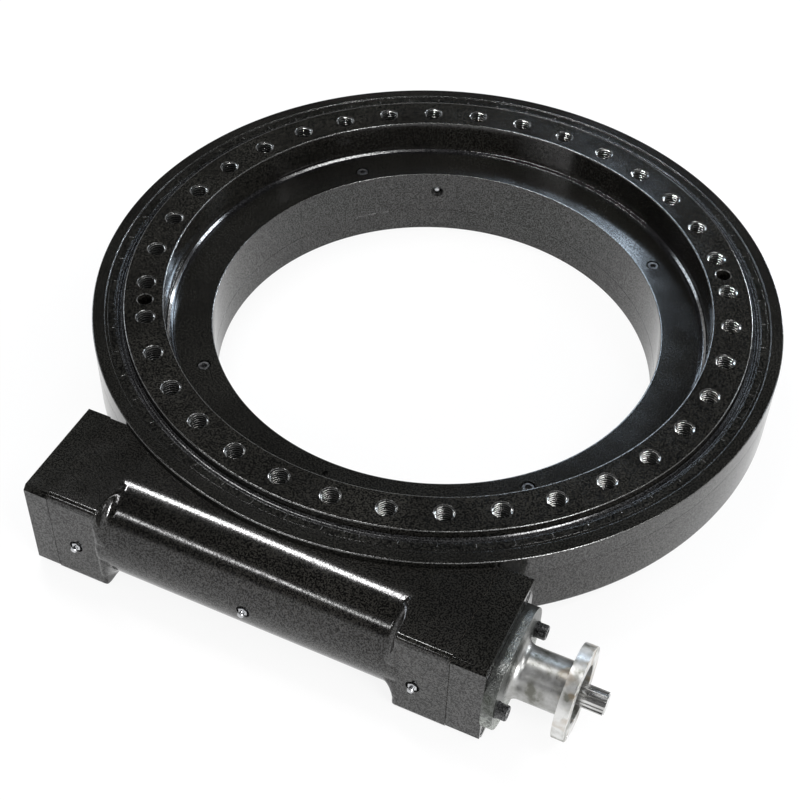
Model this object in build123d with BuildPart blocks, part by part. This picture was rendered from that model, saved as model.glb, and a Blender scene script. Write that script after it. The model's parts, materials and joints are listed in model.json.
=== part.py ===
from build123d import *
from math import asin, atan, atan2, cos, degrees, pi, radians, sin, tan
import os

# Slewing drive: a worm in a square-ended housing turns a ring with a bolt circle on top.
# All sizes are in millimetres. The origin is on the ring's axis at the bottom of the base,
# +Z is up, the worm lies along X on the -Y side and its driven end points to +X.

# Heights
base_height = 28.6
inner_ring_top = 82.4
housing_height = 110.5
rim_rise = 5.7
ring_rise = 4.8
cover_height = 24.2
wall_bottom = 37.3

# Rotating ring
bolt_circle_radius = 310.0
bolt_count = 36
bolt_radius = 10.0
bolt_depth = 40.0
bolt_start_angle = 5.19
dowel_radius = 8.0
dowel_depth = 30.0
dowel_turn = 25.0
ring_inner_wall = 19.4
ring_outer_wall = 22.5
ring_edge_chamfer = 0.8
ring_floor_gap = 2.4
teeth_half_height = 24.75

# Casing and cover
cover_gap = 8.5
cover_lip = 8.0
spigot_wall = 8.0
spigot_height = 6.0
rim_wall = 8.3
floor_taper = 32.3
cover_step_depth = 1.5
cover_fit = 0.15
outer_seal_depth = 10.7
seal_lip = 1.6
band_inset = 1.2
band_width = 7.0
band_margin = 3.0
band_thickness = 0.6

# Base and inner ring
inner_ring_width = 40.9
seal_rebate_depth = 5.4
base_spigot_inset = 25.0
base_flange_width = 22.0
base_flange_thickness = 10.6
base_fit = 0.2
mount_circle_inset = 33.2
mount_count = 12
mount_depth = 22.0

# Crossed roller race between the inner ring and the rotating ring
race_inset = 4.1
race_shoulder = 3.8
race_split = 2.2
race_share = 0.26
race_clearance = 0.08
roller_length_spare = 1.0
main_roller_count = 30
spacer_arc = 5.6

# Worm gear
worm_pitch_radius = 28.2
wheel_tooth_reach = 5.5
wheel_teeth = 120
pressure_angle = 20.0
backlash = 0.3
root_factor = 1.25
worm_thread_turns = 5
worm_thread_sink = 1.5
worm_chamber_clearance = 2.7

# Worm housing: two square boxes joined by a round barrel
housing_front = 53.5
housing_back_gap = 1.0
housing_chamfer = 4.5
housing_corner_radius = 6.0
blind_seam = -214.5
drive_seam = 199.5
blind_box_length = 53.5
drive_box_length = 54.2
blind_cap_thickness = 25.5
drive_cap_thickness = 34.1
cap_cavity_inset = 7.5
cap_wall = 10.0
drive_cap_floor = 21.6
gasket_thickness = 0.5
gasket_inset = 1.0

# Worm bearings, taper roller bearings with a bore of 45
bearing_bore_radius = 22.5
bearing_outer_radius = 42.5
bearing_width = 21.0
cone_width = 19.0
cup_width = 16.0
cap_spigot_depth = 14.0
taper_roller_count = 12
cup_edge_wall = 3.9
cup_race_slope = 0.225
cone_race_slope = 0.175
taper_clearance = 0.08
cone_rib_width = 3.0
cone_rib_inset = 8.0
taper_roller_start = 5.0
taper_roller_end = 16.5
roller_sides = 8

# Worm shaft
shoulder_radius = 27.5
shoulder_length = 14.0
seal_journal_radius = 20.0
neck_radius = 14.0
spline_radius = 11.0
spline_root_radius = 9.7
spline_teeth = 13
spline_foot = 1.5
spline_length = 68.0
shaft_overhang = 24.0
shaft_seal_radius = 32.0
shaft_seal_width = 10.0
seal_inset = 2.0
shaft_clearance = 0.3
running_clearance = 0.05
nut_width = 12.0
nut_radius = 31.0

# Motor adapter
plate_half_length = 58.5
plate_half_height = 42.0
plate_corner_radius = 34.0
plate_thickness = 11.4
tube_radius = 25.5
tube_bore_radius = 19.0
tube_fillet = 10.0
tube_length = 50.0
flange_radius = 45.0
flange_thickness = 12.0
pilot_radius = 27.5
pilot_depth = 6.0
adapter_bolt_circle_radius = 40.0
adapter_bolt_radius = 2.5
adapter_screw_offset = 47.5
adapter_screw_radius = 4.0
adapter_screw_length = 30.0
washer_radius = 8.0
washer_thickness = 1.6

# Fasteners and fittings
screw_clearance = 0.5
counterbore_depth_spare = 0.5
cap_screw_front_inset = 9.5
cap_screw_back_inset = 15.2
cap_screw_height_inset = 11.25
cap_screw_radius = 4.0
cap_screw_length = 40.0
cap_screw_socket = 27.0
cap_screw_sink = 8.5
inner_screw_inset = 17.2
inner_screw_angle = 44.3
inner_screw_radius = 4.0
inner_screw_length = 60.0
base_screw_inset = 12.5
base_screw_count = 6
base_screw_radius = 5.0
base_screw_length = 16.0
plug_radius = 15.0
plug_angle = 269.0
plug_inset = 0.5
plug_pin_radius = 3.0
plug_pin_inset = 15.2
plug_pin_depth = 4.0
nipple_recess_radius = 7.0
nipple_recess_depth = 3.0
drive_nipple_inset = 33.5
drive_nipple_height = 46.0
barrel_nipple = (-6.0, 57.0)
blind_nipple_inset = 24.5
blind_nipple_height = 48.0
bore_nipple_angle = 113.9
bore_nipple_height = 56.4
bore_nipple_recess = 12.0
nipple_hex_radius = 4.5
nipple_hex_height = 4.0
nipple_height = 9.0

# Values worked out from the driving sizes
rim_top = housing_height + rim_rise
ring_top = rim_top + ring_rise
cover_seat = rim_top - cover_height
worm_z = housing_height / 2
teeth_top = worm_z + teeth_half_height
ring_bottom = base_height + ring_floor_gap
seal_rebate_bottom = inner_ring_top - seal_rebate_depth
base_flange_bottom = base_height - base_flange_thickness
ring_inner_radius = bolt_circle_radius - ring_inner_wall
ring_outer_radius = bolt_circle_radius + ring_outer_wall
cover_inner_radius = ring_outer_radius + cover_gap
band_inner_radius = cover_inner_radius + band_inset
band_outer_radius = band_inner_radius + band_width
cover_step_radius = band_outer_radius + band_margin
casing_inner_radius = cover_inner_radius + cover_lip
spigot_radius = casing_inner_radius + spigot_wall
rim_radius = spigot_radius + rim_wall
floor_edge_radius = rim_radius - floor_taper
outer_seal_bottom = rim_top - cover_step_depth - outer_seal_depth
race_radius = ring_inner_radius - race_inset
race_height = (base_height + inner_ring_top) / 2
inner_ring_edge_radius = race_radius - race_shoulder
bore_radius = inner_ring_edge_radius - inner_ring_width
main_roller_radius = race_share * (inner_ring_top - base_height)
main_roller_length = 2 * main_roller_radius - roller_length_spare
race_reach = (main_roller_radius + race_clearance) * 2**0.5
race_inner_wall = race_radius - race_split / 2
race_outer_wall = race_radius + race_split / 2
base_spigot_radius = floor_edge_radius - base_spigot_inset
base_flange_radius = base_spigot_radius + base_flange_width
mount_circle_radius = bore_radius + mount_circle_inset
inner_screw_circle_radius = bore_radius + inner_screw_inset
base_screw_circle_radius = base_spigot_radius + base_screw_inset
plug_pin_circle = bore_radius + plug_pin_inset
wheel_pitch_radius = ring_outer_radius + wheel_tooth_reach
worm_y = -wheel_pitch_radius - worm_pitch_radius
module = 2 * wheel_pitch_radius / wheel_teeth
thread_pitch = pi * module
wheel_tip_radius = wheel_pitch_radius + module
wheel_root_radius = wheel_pitch_radius - root_factor * module
worm_tip_radius = worm_pitch_radius + module
worm_root_radius = worm_pitch_radius - 1.2 * module
worm_chamber_radius = worm_tip_radius + worm_chamber_clearance
blind_box_inner = blind_seam + blind_box_length
drive_box_inner = drive_seam - drive_box_length
housing_back = -worm_y - (rim_radius**2 - drive_seam**2) ** 0.5 - housing_back_gap
blind_cap_face = blind_seam - blind_cap_thickness
drive_cap_face = drive_seam + drive_cap_thickness
drive_cavity_end = drive_cap_face - drive_cap_floor
taper_apex = (bearing_outer_radius - cup_edge_wall) / cup_race_slope + bearing_width - cup_width
cone_rib_radius = bearing_outer_radius - cone_rib_inset
cap_cavity_radius = bearing_outer_radius - cap_cavity_inset
drive_bearing_out = drive_seam - cap_spigot_depth
blind_bearing_out = blind_seam + cap_spigot_depth
flange_start = drive_cap_face + plate_thickness + tube_length
flange_face = flange_start + flange_thickness
shaft_end = flange_face + shaft_overhang
inner_screw_seat = inner_ring_top - 2 * inner_screw_radius - counterbore_depth_spare
base_screw_seat = 2 * base_screw_radius
drive_nipple = (drive_seam - drive_nipple_inset, drive_nipple_height)
blind_nipple = (blind_seam + blind_nipple_inset, blind_nipple_height)
worm_axis = Axis((0, worm_y, worm_z), (1, 0, 0))


def across(x):
    """Plane square to the worm at x: its first axis is +Y and its second is +Z."""
    return Plane(origin=(x, worm_y, worm_z), x_dir=(0, 1, 0), z_dir=(1, 0, 0))


def along():
    """Plane through the worm's axis: its first axis is +X and its second is the radius."""
    return Plane(origin=(0, worm_y, worm_z), x_dir=(1, 0, 0), z_dir=(0, -1, 0))


def turned(profile, plane=Plane.XZ, axis=Axis.Z):
    """A piece turned about an axis, from the corners of its half section."""
    with BuildPart() as piece:
        with BuildSketch(plane):
            with BuildLine():
                Polyline(*profile, close=True)
            make_face()
        revolve(axis=axis)
    return piece.part


def turned_on_worm(profile):
    """A piece turned about the worm's axis, from (x, radius) corners."""
    return turned(profile, along(), worm_axis)


def save(part, name):
    part.label = name
    export_step(part, f"parts/{name}.step")


def socket_screw(radius, length, plane, places):
    """Socket head screws as one group: the head stands on the plane and the shank goes in."""
    with BuildPart() as screws:
        with BuildSketch(plane):
            with Locations(*places):
                Circle(1.6 * radius)
        extrude(amount=2 * radius)
        with BuildSketch(plane):
            with Locations(*places):
                Circle(radius)
        extrude(amount=-length)
    return screws.part


def polar_places(radius, count, start):
    """Places spaced evenly on a circle, as (x, y) pairs."""
    step = 360 / count
    angles = [radians(start + step * i) for i in range(count)]
    return [(radius * cos(a), radius * sin(a)) for a in angles]


# Worm wheel teeth
def involute(angle):
    return tan(angle) - angle


def tooth_half_angle(radius):
    """Half of the angle that a wheel tooth fills at a radius, from its involute."""
    base_radius = wheel_pitch_radius * cos(radians(pressure_angle))
    at_pitch = (pi * module / 2 - backlash) / (2 * wheel_pitch_radius)
    here = atan2((radius**2 - base_radius**2) ** 0.5, base_radius)
    return at_pitch + involute(radians(pressure_angle)) - involute(here)


def wheel_outline(twist):
    """Corners of the toothed outline, with one tooth centred on the worm, turned by twist."""
    points = []
    for i in range(wheel_teeth):
        middle = radians(-90 + twist) + 2 * pi * i / wheel_teeth
        root = tooth_half_angle(wheel_root_radius)
        tip = tooth_half_angle(wheel_tip_radius)
        for radius, angle in (
            (wheel_root_radius, middle - root),
            (wheel_tip_radius, middle - tip),
            (wheel_tip_radius, middle + tip),
            (wheel_root_radius, middle + root),
        ):
            points.append((radius * cos(angle), radius * sin(angle)))
    return points


lead_slope = thread_pitch / (2 * pi * worm_pitch_radius)


def twist_at(z):
    """Turn of the teeth, in degrees, at a height, so that they follow the worm's lead."""
    return degrees((z - worm_z) * lead_slope / wheel_pitch_radius)


bolt_places = polar_places(bolt_circle_radius, bolt_count, bolt_start_angle)
dowel_places = polar_places(bolt_circle_radius, 2, bolt_start_angle + dowel_turn)

with BuildPart() as rotating_ring:
    for z in (ring_bottom, teeth_top):
        with BuildSketch(Plane.XY.offset(z)):
            with BuildLine():
                Polyline(*wheel_outline(twist_at(z)), close=True)
            make_face()
    loft(ruled=True)
    with BuildSketch(Plane.XZ):
        with BuildLine():
            Polyline(
                (0, teeth_top),
                (ring_outer_radius, teeth_top),
                (ring_outer_radius, ring_top - ring_edge_chamfer),
                (ring_outer_radius - ring_edge_chamfer, ring_top),
                (0, ring_top),
                close=True,
            )
        make_face()
    revolve(axis=Axis.Z)
    with BuildSketch(Plane.XZ):
        with BuildLine():
            Polyline(
                (0, 0),
                (race_outer_wall, 0),
                (race_outer_wall, race_height - race_reach + race_split / 2),
                (race_radius + race_reach, race_height),
                (race_outer_wall, race_height + race_reach - race_split / 2),
                (race_outer_wall, seal_rebate_bottom - running_clearance),
                (ring_inner_radius, seal_rebate_bottom - running_clearance),
                (ring_inner_radius, ring_top - ring_edge_chamfer),
                (ring_inner_radius + 2 * ring_edge_chamfer, ring_top + ring_edge_chamfer),
                (0, ring_top + ring_edge_chamfer),
                close=True,
            )
        make_face()
    revolve(axis=Axis.Z, mode=Mode.SUBTRACT)
    with BuildSketch(Plane.XY.offset(ring_top)):
        with Locations(*bolt_places):
            Circle(bolt_radius)
    extrude(amount=-bolt_depth, mode=Mode.SUBTRACT)
    with BuildSketch(Plane.XY.offset(ring_top)):
        with Locations(*dowel_places):
            Circle(dowel_radius)
    extrude(amount=-dowel_depth, mode=Mode.SUBTRACT)
save(rotating_ring.part, "rotating_ring")


# Outline that the square boxes, the end caps and their gaskets share
with BuildSketch() as housing_section:
    half = housing_height / 2
    with BuildLine():
        Polyline(
            (housing_corner_radius - housing_front, -half),
            (housing_back, -half),
            (housing_back, half),
            (housing_chamfer - housing_front, half),
            (-housing_front, half - housing_chamfer),
            (-housing_front, housing_corner_radius - half),
        )
        RadiusArc(
            (-housing_front, housing_corner_radius - half),
            (housing_corner_radius - housing_front, -half),
            housing_corner_radius,
        )
    make_face()


base_screw_places = polar_places(base_screw_circle_radius, base_screw_count, 15)
inner_screw_places = polar_places(inner_screw_circle_radius, 4, inner_screw_angle)
nipple_places = (
    (drive_nipple, worm_y - housing_front),
    (barrel_nipple, worm_y - housing_height / 2),
    (blind_nipple, worm_y - housing_front),
)
cap_screw_sides = (cap_screw_front_inset - housing_front, housing_back - cap_screw_back_inset)
cap_screw_rise = housing_height / 2 - cap_screw_height_inset
cap_screw_places = [(y, z) for y in cap_screw_sides for z in (-cap_screw_rise, cap_screw_rise)]

with BuildPart() as casing:
    with BuildSketch(Plane.XZ):
        with BuildLine():
            Polyline(
                (0, 0),
                (floor_edge_radius, 0),
                (rim_radius, wall_bottom),
                (rim_radius, cover_seat + spigot_height),
                (0, cover_seat + spigot_height),
                close=True,
            )
        make_face()
    revolve(axis=Axis.Z)
    with BuildSketch(across(blind_seam)):
        add(housing_section.sketch)
    extrude(amount=blind_box_inner - blind_seam)
    with BuildSketch(across(drive_box_inner)):
        add(housing_section.sketch)
    extrude(amount=drive_seam - drive_box_inner)
    with BuildSketch(across(blind_box_inner)):
        Circle(housing_height / 2)
        with Locations((housing_back / 2, 0)):
            Rectangle(housing_back, housing_height)
    extrude(amount=drive_box_inner - blind_box_inner)
    with BuildSketch(Plane.XZ):
        with BuildLine():
            Polyline(
                (0, -1),
                (base_spigot_radius + base_fit, -1),
                (base_spigot_radius + base_fit, base_flange_bottom),
                (base_flange_radius + base_fit, base_flange_bottom),
                (base_flange_radius + base_fit, base_height),
                (casing_inner_radius, base_height),
                (casing_inner_radius, cover_seat + spigot_height),
                (spigot_radius, cover_seat + spigot_height),
                (spigot_radius, cover_seat),
                (rim_radius + base_fit, cover_seat),
                (rim_radius + base_fit, ring_top),
                (0, ring_top),
                close=True,
            )
        make_face()
    revolve(axis=Axis.Z, mode=Mode.SUBTRACT)
    with BuildSketch(across(blind_seam)):
        Circle(worm_chamber_radius)
    extrude(amount=drive_seam - blind_seam, mode=Mode.SUBTRACT)
    with BuildSketch(across(drive_seam)):
        Circle(bearing_outer_radius + running_clearance)
    extrude(amount=drive_bearing_out - bearing_width - drive_seam, mode=Mode.SUBTRACT)
    with BuildSketch(across(blind_seam)):
        Circle(bearing_outer_radius + running_clearance)
    extrude(amount=blind_bearing_out + bearing_width - blind_seam, mode=Mode.SUBTRACT)
    for seam, direction in ((drive_seam, -1), (blind_seam, 1)):
        with BuildSketch(across(seam)):
            with Locations(*cap_screw_places):
                Circle(cap_screw_radius + running_clearance)
        extrude(amount=direction * cap_screw_socket, mode=Mode.SUBTRACT)
    with BuildSketch(Plane.XY):
        with Locations(*base_screw_places):
            Circle(1.6 * base_screw_radius + screw_clearance)
    extrude(amount=2 * base_screw_radius, mode=Mode.SUBTRACT)
    with BuildSketch(Plane.XY):
        with Locations(*base_screw_places):
            Circle(base_screw_radius + screw_clearance)
    extrude(amount=base_flange_bottom, mode=Mode.SUBTRACT)
    for (x, z), face_y in nipple_places:
        with BuildSketch(Plane(origin=(x, face_y, z), x_dir=(1, 0, 0), z_dir=(0, -1, 0))):
            Circle(nipple_recess_radius)
        extrude(amount=-nipple_recess_depth, mode=Mode.SUBTRACT)
save(casing.part, "casing")

# Cover ring, its outer seal and the band that holds the seal
save(
    turned(
        [
            (spigot_radius + cover_fit, cover_seat),
            (rim_radius, cover_seat),
            (rim_radius, rim_top - ring_edge_chamfer),
            (rim_radius - ring_edge_chamfer, rim_top),
            (cover_step_radius, rim_top),
            (cover_step_radius, rim_top - cover_step_depth),
            (cover_inner_radius, rim_top - cover_step_depth),
            (cover_inner_radius, cover_seat + spigot_height),
            (spigot_radius + cover_fit, cover_seat + spigot_height),
        ]
    ),
    "cover_ring",
)
save(
    turned(
        [
            (ring_outer_radius + running_clearance, outer_seal_bottom),
            (cover_inner_radius, outer_seal_bottom),
            (cover_inner_radius, rim_top - cover_step_depth),
            (ring_outer_radius + seal_lip, rim_top - cover_step_depth - seal_lip),
            (ring_outer_radius + running_clearance, rim_top - cover_step_depth - 2 * seal_lip),
        ]
    ),
    "outer_seal",
)
save(
    turned(
        [
            (band_inner_radius, rim_top - cover_step_depth),
            (band_outer_radius, rim_top - cover_step_depth),
            (band_outer_radius, rim_top - cover_step_depth + band_thickness),
            (band_inner_radius, rim_top - cover_step_depth + band_thickness),
        ]
    ),
    "seal_band",
)

# Base ring, screwed to the casing's floor from below
with BuildPart() as base_ring:
    with BuildSketch(Plane.XZ):
        with BuildLine():
            Polyline(
                (bore_radius, 0),
                (base_spigot_radius, 0),
                (base_spigot_radius, base_flange_bottom),
                (base_flange_radius, base_flange_bottom),
                (base_flange_radius, base_height),
                (bore_radius, base_height),
                close=True,
            )
        make_face()
    revolve(axis=Axis.Z)
    with BuildSketch(Plane.XY):
        with Locations(*polar_places(mount_circle_radius, mount_count, 0)):
            Circle(bolt_radius)
    extrude(amount=mount_depth, mode=Mode.SUBTRACT)
    with BuildSketch(Plane.XY.offset(base_flange_bottom)):
        with Locations(*base_screw_places):
            Circle(base_screw_radius + running_clearance)
    extrude(amount=base_height - base_flange_bottom - 1, mode=Mode.SUBTRACT)
    with BuildSketch(Plane.XY.offset(base_height)):
        with Locations(*inner_screw_places):
            Circle(inner_screw_radius + running_clearance)
    extrude(amount=inner_screw_seat - inner_screw_length - base_height - 1, mode=Mode.SUBTRACT)
save(base_ring.part, "base_ring")
save(
    socket_screw(
        base_screw_radius,
        base_screw_length,
        Plane(origin=(0, 0, base_screw_seat), x_dir=(1, 0, 0), z_dir=(0, 0, -1)),
        [(x, -y) for x, y in base_screw_places],
    ),
    "base_screws",
)

# Inner ring with its filling plug
plug_plane = Plane(
    origin=(0, 0, race_height),
    x_dir=(-sin(radians(plug_angle)), cos(radians(plug_angle)), 0),
    z_dir=(cos(radians(plug_angle)), sin(radians(plug_angle)), 0),
)
plug_pin_place = (plug_pin_circle * cos(radians(plug_angle)), plug_pin_circle * sin(radians(plug_angle)))
nipple_turn = radians(bore_nipple_angle)
bore_nipple_plane = Plane(
    origin=(bore_radius * cos(nipple_turn), bore_radius * sin(nipple_turn), bore_nipple_height),
    x_dir=(sin(nipple_turn), -cos(nipple_turn), 0),
    z_dir=(-cos(nipple_turn), -sin(nipple_turn), 0),
)
with BuildPart() as inner_ring_blank:
    with BuildSketch(Plane.XZ):
        with BuildLine():
            Polyline(
                (bore_radius, base_height),
                (race_inner_wall, base_height),
                (race_inner_wall, race_height - race_reach + race_split / 2),
                (race_radius - race_reach, race_height),
                (race_inner_wall, race_height + race_reach - race_split / 2),
                (race_inner_wall, seal_rebate_bottom),
                (inner_ring_edge_radius, seal_rebate_bottom),
                (inner_ring_edge_radius, inner_ring_top),
                (bore_radius, inner_ring_top),
                close=True,
            )
        make_face()
    revolve(axis=Axis.Z)
with BuildPart() as inner_ring:
    add(inner_ring_blank.part)
    with BuildSketch(Plane.XY.offset(inner_ring_top)):
        with Locations(*inner_screw_places):
            Circle(1.6 * inner_screw_radius + screw_clearance)
    extrude(amount=inner_screw_seat - inner_ring_top, mode=Mode.SUBTRACT)
    with BuildSketch(Plane.XY.offset(inner_ring_top)):
        with Locations(*inner_screw_places):
            Circle(inner_screw_radius + screw_clearance)
    extrude(amount=base_height - inner_ring_top, mode=Mode.SUBTRACT)
    with BuildSketch(plug_plane.offset(bore_radius - 1)):
        Circle(plug_radius)
    extrude(amount=race_radius - bore_radius, mode=Mode.SUBTRACT)
    with BuildSketch(Plane.XY.offset(inner_ring_top)):
        with Locations(plug_pin_place):
            Circle(plug_pin_radius)
    extrude(amount=race_height + plug_radius - inner_ring_top - 1, mode=Mode.SUBTRACT)
    with BuildSketch(bore_nipple_plane):
        Circle(nipple_recess_radius)
    extrude(amount=-bore_nipple_recess, mode=Mode.SUBTRACT)
save(inner_ring.part, "inner_ring")
with BuildPart() as filling_plug:
    with BuildSketch(plug_plane.offset(bore_radius + plug_inset)):
        Circle(plug_radius)
    extrude(amount=race_radius - bore_radius)
    add(inner_ring_blank.part, mode=Mode.INTERSECT)
    with BuildSketch(Plane.XY.offset(inner_ring_top)):
        with Locations(plug_pin_place):
            Circle(plug_pin_radius)
    extrude(amount=race_height + plug_radius - plug_pin_depth - inner_ring_top, mode=Mode.SUBTRACT)
save(filling_plug.part, "filling_plug")
with BuildPart() as plug_pin:
    with BuildSketch(Plane.XY.offset(inner_ring_top - plug_inset)):
        with Locations(plug_pin_place):
            Circle(plug_pin_radius)
    extrude(amount=race_height + plug_radius - plug_pin_depth - inner_ring_top + plug_inset)
save(plug_pin.part, "plug_pin")
save(
    socket_screw(
        inner_screw_radius, inner_screw_length, Plane.XY.offset(inner_screw_seat), inner_screw_places
    ),
    "inner_ring_screws",
)
save(
    turned(
        [
            (inner_ring_edge_radius, seal_rebate_bottom),
            (race_inner_wall, seal_rebate_bottom),
            (ring_inner_radius - running_clearance, inner_ring_top - seal_lip),
            (ring_inner_radius - running_clearance, inner_ring_top),
            (inner_ring_edge_radius, inner_ring_top),
        ]
    ),
    "inner_seal",
)

# Rollers of the main race, crossed by turns, and the blocks that keep them apart
roller_step = 360 / main_roller_count
with BuildPart() as main_rollers:
    for i in range(main_roller_count):
        lean = 45 if i % 2 else 135
        with Locations(Rotation(0, 0, i * roller_step) * Pos(race_radius, 0, race_height) * Rotation(0, lean, 0)):
            Cylinder(main_roller_radius, main_roller_length)
save(main_rollers.part, "main_rollers")
with BuildPart() as spacer:
    with BuildSketch(Plane.XZ):
        with Locations((race_radius, race_height)):
            Rectangle(2 * main_roller_radius, 2 * main_roller_radius, rotation=45)
    revolve(axis=Axis.Z, revolution_arc=spacer_arc)
first_spacer = spacer.part.rotate(Axis.Z, (roller_step - spacer_arc) / 2)
with BuildPart() as roller_spacers:
    for i in range(main_roller_count):
        add(first_spacer.rotate(Axis.Z, i * roller_step))
save(roller_spacers.part, "roller_spacers")

# Worm shaft
half_thread = (pi * module / 2 - backlash) / 2
flank_slope = tan(radians(pressure_angle))
thread_start = -worm_thread_turns * thread_pitch / 2
thread_foot = worm_root_radius - worm_thread_sink
with BuildPart() as thread:
    with BuildLine():
        helix = Helix(
            thread_pitch,
            worm_thread_turns * thread_pitch,
            worm_pitch_radius,
            center=(thread_start, worm_y, worm_z),
            direction=(1, 0, 0),
        )
    start = helix @ 0
    start_turn = atan2(start.Z - worm_z, start.Y - worm_y)
    with BuildSketch(
        Plane(
            origin=(thread_start, worm_y, worm_z),
            x_dir=(1, 0, 0),
            z_dir=(0, -sin(start_turn), cos(start_turn)),
        )
    ):
        with BuildLine():
            Polyline(
                (-half_thread - (worm_pitch_radius - thread_foot) * flank_slope, thread_foot),
                (half_thread + (worm_pitch_radius - thread_foot) * flank_slope, thread_foot),
                (half_thread - module * flank_slope, worm_tip_radius),
                (-half_thread + module * flank_slope, worm_tip_radius),
                close=True,
            )
        make_face()
    sweep(path=helix, is_frenet=True)
with BuildPart() as worm_shaft:
    with BuildSketch(along()):
        with BuildLine():
            Polyline(
                (blind_bearing_out - nut_width - 4, 0),
                (blind_bearing_out - nut_width - 4, seal_journal_radius),
                (blind_bearing_out + bearing_width - cone_width, seal_journal_radius),
                (blind_bearing_out + bearing_width - cone_width, bearing_bore_radius),
                (blind_bearing_out + bearing_width, bearing_bore_radius),
                (blind_bearing_out + bearing_width, shoulder_radius),
                (blind_bearing_out + bearing_width + shoulder_length, shoulder_radius),
                (blind_bearing_out + bearing_width + shoulder_length, worm_root_radius),
                (drive_bearing_out - bearing_width - shoulder_length, worm_root_radius),
                (drive_bearing_out - bearing_width - shoulder_length, shoulder_radius),
                (drive_bearing_out - bearing_width, shoulder_radius),
                (drive_bearing_out - bearing_width, bearing_bore_radius),
                (drive_bearing_out - bearing_width + cone_width, bearing_bore_radius),
                (drive_bearing_out - bearing_width + cone_width, seal_journal_radius),
                (drive_cap_face - 1, seal_journal_radius),
                (drive_cap_face - 1, neck_radius),
                (shaft_end - spline_length, neck_radius),
                (shaft_end - spline_length, spline_root_radius),
                (shaft_end, spline_root_radius),
                (shaft_end, 0),
                close=True,
            )
        make_face()
    revolve(axis=worm_axis)
    add(thread.part.rotate(worm_axis, -degrees(start_turn)))
    with BuildSketch(across(shaft_end - spline_length)):
        with PolarLocations(0, spline_teeth):
            with BuildLine():
                Polyline(
                    (spline_root_radius - 1, -spline_foot),
                    (spline_radius, -spline_foot / 2),
                    (spline_radius, spline_foot / 2),
                    (spline_root_radius - 1, spline_foot),
                    close=True,
                )
            make_face()
    extrude(amount=spline_length - 1)
save(worm_shaft.part, "worm_shaft")
save(
    turned_on_worm(
        [
            (blind_bearing_out + bearing_width - cone_width - nut_width, seal_journal_radius),
            (blind_bearing_out + bearing_width - cone_width, seal_journal_radius),
            (blind_bearing_out + bearing_width - cone_width, nut_radius),
            (blind_bearing_out + bearing_width - cone_width - nut_width, nut_radius),
        ]
    ),
    "lock_nut",
)

# Taper roller bearings, with their thrust faces towards the worm
roller_slope = (atan(cup_race_slope) + atan(cone_race_slope)) / 2
roller_half_angle = (atan(cup_race_slope) - atan(cone_race_slope)) / 2
bearing_ends = ((drive_bearing_out, -1), (blind_bearing_out, 1))


def apex_distance(depth):
    """Distance from the common apex of both races, at a depth inside a bearing's outer face."""
    return taper_apex - bearing_width + depth


with BuildPart() as bearing_cups:
    for face, inward in bearing_ends:
        add(
            turned_on_worm(
                [
                    (face, cup_race_slope * apex_distance(0)),
                    (face, bearing_outer_radius),
                    (face + inward * cup_width, bearing_outer_radius),
                    (face + inward * cup_width, cup_race_slope * apex_distance(cup_width)),
                ]
            )
        )
save(bearing_cups.part, "bearing_cups")
cone_start = bearing_width - cone_width
rib_start = bearing_width - cone_rib_width
with BuildPart() as bearing_cones:
    for face, inward in bearing_ends:
        add(
            turned_on_worm(
                [
                    (face + inward * cone_start, bearing_bore_radius),
                    (face + inward * cone_start, cone_race_slope * apex_distance(cone_start)),
                    (face + inward * rib_start, cone_race_slope * apex_distance(rib_start)),
                    (face + inward * rib_start, cone_rib_radius),
                    (face + inward * bearing_width, cone_rib_radius),
                    (face + inward * bearing_width, bearing_bore_radius),
                ]
            )
        )
save(bearing_cones.part, "bearing_cones")
with BuildPart() as bearing_rollers:
    for face, inward in bearing_ends:
        roller_line = Plane(
            origin=(face - inward * apex_distance(0), worm_y, worm_z),
            z_dir=(inward * cos(roller_slope), 0, sin(roller_slope)),
        )
        with BuildPart() as roller:
            for depth in (taper_roller_start, taper_roller_end):
                distance = apex_distance(depth) / cos(roller_slope)
                with BuildSketch(roller_line.offset(distance)):
                    RegularPolygon(distance * tan(roller_half_angle) - taper_clearance, roller_sides)
            loft(ruled=True)
        for i in range(taper_roller_count):
            add(roller.part.rotate(worm_axis, 360 / taper_roller_count * i))
save(bearing_rollers.part, "bearing_rollers")


# End caps and gaskets of the worm housing
def end_cap(seam, face, spigot_end, cavity_end):
    """Square end cap with a spigot that holds the bearing cup and four sunk corner screws."""
    outward = 1 if face > seam else -1
    with BuildPart() as cap:
        with BuildSketch(across(seam + outward * gasket_thickness)):
            add(housing_section.sketch)
        extrude(amount=face - seam - outward * gasket_thickness)
        with BuildSketch(across(spigot_end)):
            Circle(bearing_outer_radius - running_clearance)
        extrude(amount=seam + outward - spigot_end)
        with BuildSketch(across(spigot_end)):
            Circle(cap_cavity_radius)
        extrude(amount=cavity_end - spigot_end, mode=Mode.SUBTRACT)
        with BuildSketch(across(face)):
            with Locations(*cap_screw_places):
                Circle(1.6 * cap_screw_radius + screw_clearance)
        extrude(amount=-outward * cap_screw_sink, mode=Mode.SUBTRACT)
        with BuildSketch(across(face)):
            with Locations(*cap_screw_places):
                Circle(cap_screw_radius + screw_clearance)
        extrude(amount=seam - face, mode=Mode.SUBTRACT)
    return cap.part


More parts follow.
